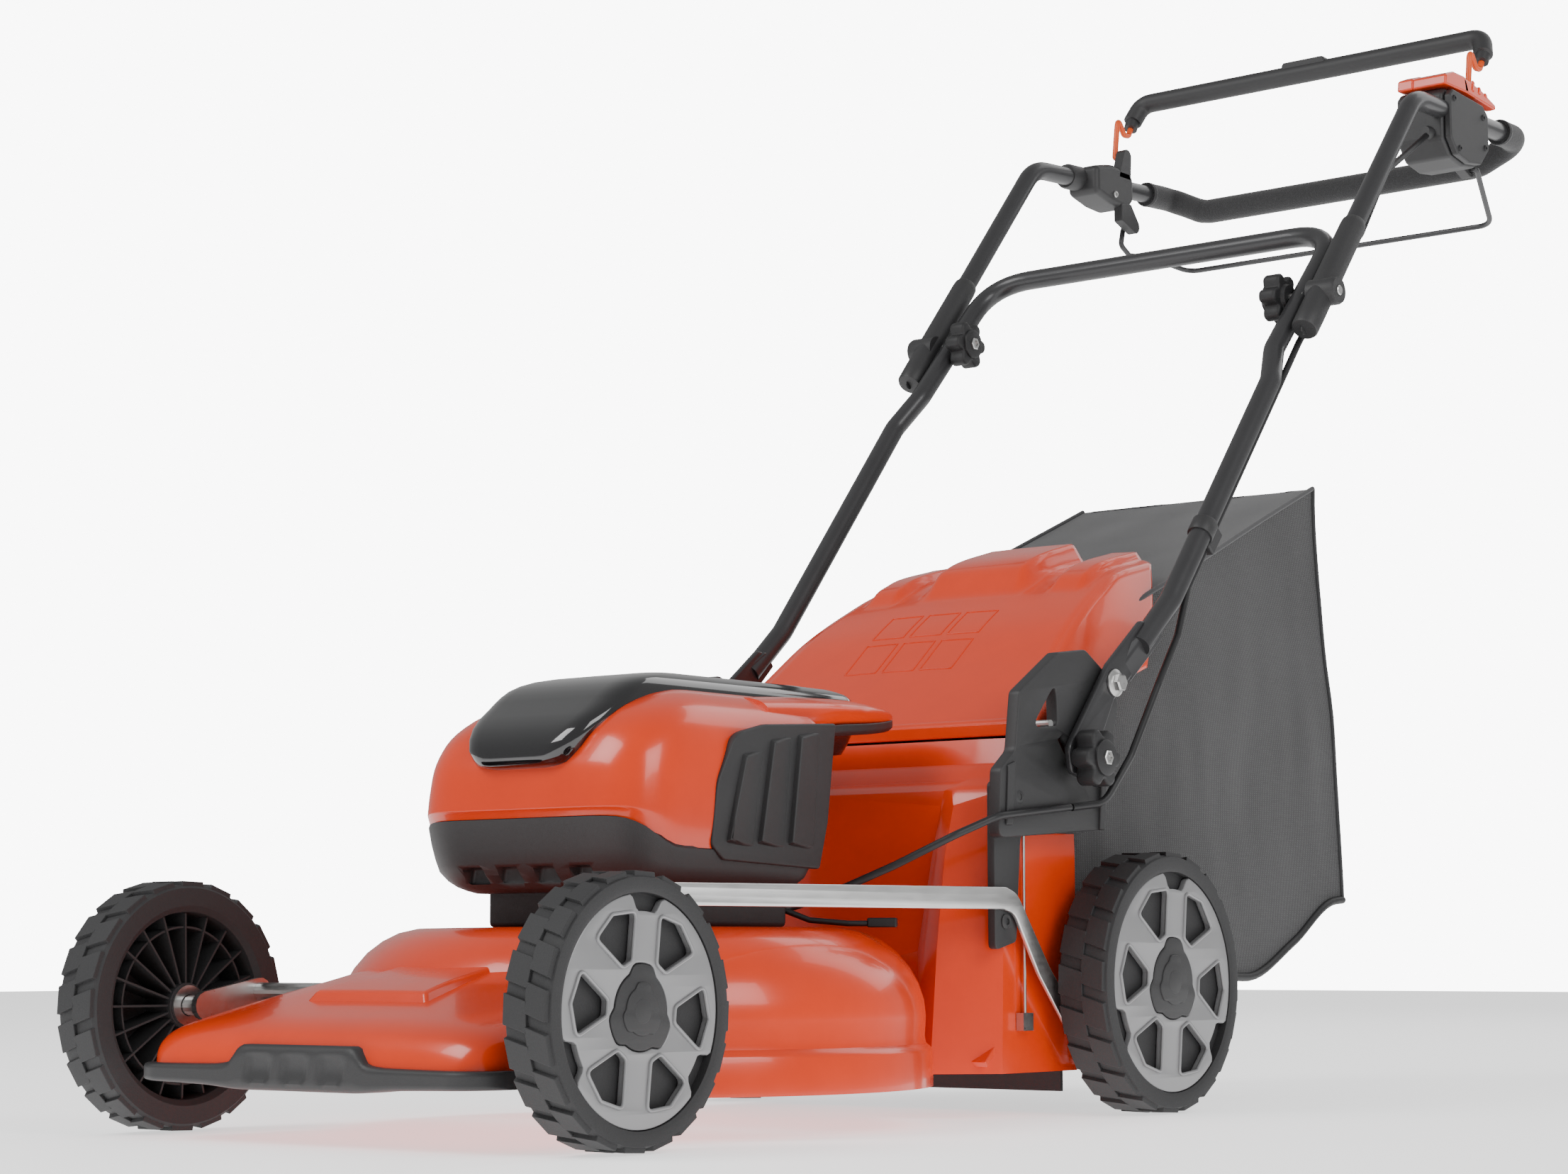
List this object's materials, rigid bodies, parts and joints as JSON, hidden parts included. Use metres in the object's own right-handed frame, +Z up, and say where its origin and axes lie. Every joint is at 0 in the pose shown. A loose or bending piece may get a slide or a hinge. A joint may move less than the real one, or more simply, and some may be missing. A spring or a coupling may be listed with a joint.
{
  "type": "push lawn mower",
  "caption": "Battery push lawn mower: orange deck, covered motor, spoked wheels, folding tube handle with wire bails, rear flap and cloth grass bag.",
  "frame": {"origin": "on the ground, midway between the sides, over the rear wheel axle and about the middle of the length", "axes": "+Z up, -Y towards the front of the mower, +X towards the mower's left side"},
  "size_m": [0.554, 1.741, 1.232],
  "materials": {
    "orange_gloss": "glossy orange",
    "charcoal_plastic": "fine grain",
    "black_plastic": "fine grain",
    "gloss_black": "polished",
    "tyre_rubber": "matt",
    "wheel_silver": "satin silver paint",
    "cast_metal": "as cast",
    "motor_metal": "ribbed casting",
    "steel": "zinc plated",
    "zinc_bar": "bright zinc",
    "handle_paint": "satin dark grey powder coat",
    "orange_wire": "orange coating",
    "grip_foam": "closed-cell foam",
    "bag_fabric": "woven polyester",
    "cable_jacket": "smooth"
  },
  "bodies": {
    "deck": {"deck_shell": "orange_gloss", "front_bumper": "charcoal_plastic", "housing_lower": "charcoal_plastic", "housing_hood": "orange_gloss", "side_grille_left": "charcoal_plastic", "side_grille_right": "charcoal_plastic", "battery_pack": "black_plastic", "motor": "motor_metal", "flap_hinge_rod": "steel", "side_bracket_left": "charcoal_plastic", "side_bracket_right": "charcoal_plastic", "trailing_shield": "black_plastic", "handle_pivot_bolt_left": "steel", "handle_pivot_bolt_right": "steel", "motor_cable": "cable_jacket", "drive_cable": "steel", "cable_loop_lower": "cable_jacket"},
    "lid": {"battery_lid": "gloss_black"},
    "rotor": {"motor_shaft": "steel", "blade_adapter": "cast_metal", "blade": "steel", "blade_bolt": "steel"},
    "flap": {"discharge_flap": "orange_gloss"},
    "front_crank": {"front_axle": "steel"},
    "link": {"link_bar": "zinc_bar"},
    "rear_crank": {"rear_crank": "steel", "drive_gearbox": "cast_metal"},
    "drive_shaft": {"drive_axle": "steel"},
    "lower_handle": {"lower_handle": "handle_paint", "cable_lower": "cable_jacket", "cable_loop_upper": "cable_jacket"},
    "lower_knob_left": {"lower_knob_left": "black_plastic"},
    "lower_knob_right": {"lower_knob_right": "black_plastic"},
    "upper_knob_left": {"upper_knob_left": "black_plastic"},
    "upper_knob_right": {"upper_knob_right": "black_plastic"},
    "upper_handle": {"upper_handle": "handle_paint", "grip_foam": "grip_foam", "handle_sleeve_left": "charcoal_plastic", "handle_sleeve_right": "charcoal_plastic", "control_box": "charcoal_plastic", "bail_bracket": "charcoal_plastic", "cable_upper": "cable_jacket"},
    "start_lever": {"start_lever": "orange_gloss"},
    "stop_bail": {"bail_wire": "orange_wire", "bail_cover": "charcoal_plastic"},
    "drive_bail": {"drive_bail": "handle_paint"},
    "bag": {"bag_fabric": "bag_fabric", "bag_frame": "steel"},
    "front_left_wheel": {"front_left_wheel_tyre": "tyre_rubber", "front_left_wheel_trim": "wheel_silver", "front_left_wheel_hub_cap": "charcoal_plastic"},
    "front_right_wheel": {"front_right_wheel_tyre": "tyre_rubber", "front_right_wheel_trim": "wheel_silver", "front_right_wheel_hub_cap": "charcoal_plastic"},
    "rear_left_wheel": {"rear_left_wheel_tyre": "tyre_rubber", "rear_left_wheel_trim": "wheel_silver", "rear_left_wheel_hub_cap": "charcoal_plastic"},
    "rear_right_wheel": {"rear_right_wheel_tyre": "tyre_rubber", "rear_right_wheel_trim": "wheel_silver", "rear_right_wheel_hub_cap": "charcoal_plastic"}
  },
  "joints": [
    {"name": "lid_hinge", "type": "hinge", "parent": "deck", "child": "lid", "pos_m": [0, -0.215, 0.384], "axis": [-1, 0, 0], "range_deg": [0, 70]},
    {"name": "blade_spin", "type": "hinge", "parent": "deck", "child": "rotor", "pos_m": [0, -0.45, 0.06], "axis": [0, 0, 1], "continuous": true},
    {"name": "flap_hinge", "type": "hinge", "parent": "deck", "child": "flap", "pos_m": [0, -0.127, 0.357], "axis": [1, 0, 0], "range_deg": [0, 55]},
    {"name": "front_height", "type": "hinge", "parent": "deck", "child": "front_crank", "pos_m": [0, -0.695, 0.116], "axis": [1, 0, 0], "range_deg": [0, 40]},
    {"name": "rear_height", "type": "hinge", "parent": "deck", "child": "rear_crank", "pos_m": [0, -0.06, 0.132], "axis": [1, 0, 0], "range_deg": [-40, 0]},
    {"name": "link_pivot", "type": "hinge", "parent": "front_crank", "child": "link", "pos_m": [0.2175, -0.695, 0.194], "axis": [1, 0, 0], "range_deg": [-36.8, 0]},
    {"name": "front_left_wheel_spin", "type": "hinge", "parent": "front_crank", "child": "front_left_wheel", "pos_m": [0.253, -0.755, 0.105], "axis": [1, 0, 0], "continuous": true},
    {"name": "front_right_wheel_spin", "type": "hinge", "parent": "front_crank", "child": "front_right_wheel", "pos_m": [-0.253, -0.755, 0.105], "axis": [1, 0, 0], "continuous": true},
    {"name": "rear_left_wheel_spin", "type": "hinge", "parent": "rear_crank", "child": "rear_left_wheel", "pos_m": [0.25, 0, 0.121], "axis": [1, 0, 0], "continuous": true},
    {"name": "rear_right_wheel_spin", "type": "hinge", "parent": "rear_crank", "child": "rear_right_wheel", "pos_m": [-0.25, 0, 0.121], "axis": [1, 0, 0], "continuous": true},
    {"name": "drive_shaft_spin", "type": "hinge", "parent": "rear_crank", "child": "drive_shaft", "pos_m": [0, 0, 0.121], "axis": [1, 0, 0], "continuous": true},
    {"name": "lower_handle_fold", "type": "hinge", "parent": "deck", "child": "lower_handle", "pos_m": [0, -0.038, 0.4], "axis": [1, 0, 0], "range_deg": [0, 117], "deforming": ["cable_loop_lower"]},
    {"name": "upper_handle_fold", "type": "hinge", "parent": "lower_handle", "child": "upper_handle", "pos_m": [0, 0.352, 0.836], "axis": [1, 0, 0], "range_deg": [-75, 0], "deforming": ["cable_loop_upper"]},
    {"name": "lower_knob_left_turn", "type": "hinge", "parent": "lower_handle", "child": "lower_knob_left", "pos_m": [0.2525, -0.095, 0.326], "axis": [1, 0, 0], "continuous": true},
    {"name": "upper_knob_left_turn", "type": "hinge", "parent": "lower_handle", "child": "upper_knob_left", "pos_m": [0.2035, 0.352, 0.836], "axis": [1, 0, 0], "continuous": true},
    {"name": "lower_knob_right_turn", "type": "hinge", "parent": "lower_handle", "child": "lower_knob_right", "pos_m": [-0.2525, -0.095, 0.326], "axis": [1, 0, 0], "continuous": true},
    {"name": "upper_knob_right_turn", "type": "hinge", "parent": "lower_handle", "child": "upper_knob_right", "pos_m": [-0.2035, 0.352, 0.836], "axis": [1, 0, 0], "continuous": true},
    {"name": "start_lever_rock", "type": "hinge", "parent": "upper_handle", "child": "start_lever", "pos_m": [0.23, 0.642, 1.123], "axis": [1, 0, 0], "range_deg": [0, 10], "stiffness_Nm_per_rad": 0.2, "springref_deg": -17.19},
    {"name": "stop_bail_pull", "type": "hinge", "parent": "upper_handle", "child": "stop_bail", "pos_m": [0, 0.735, 1.136], "axis": [1, 0, 0], "range_deg": [-45, 0], "stiffness_Nm_per_rad": 2, "springref_deg": 28.65},
    {"name": "drive_bail_pull", "type": "hinge", "parent": "upper_handle", "child": "drive_bail", "pos_m": [0, 0.752, 1.05], "axis": [1, 0, 0], "range_deg": [0, 25], "stiffness_Nm_per_rad": 0.5, "springref_deg": -22.92},
    {"name": "bag_slide", "type": "slide", "parent": "deck", "child": "bag", "axis": [0, 1, 0], "range_m": [0, 0.1]}
  ],
  "couplings": [
    {"joint": "rear_height", "follows": "front_height", "ratio": -1},
    {"joint": "link_pivot", "follows": "front_height", "ratio": -0.92}
  ]
}
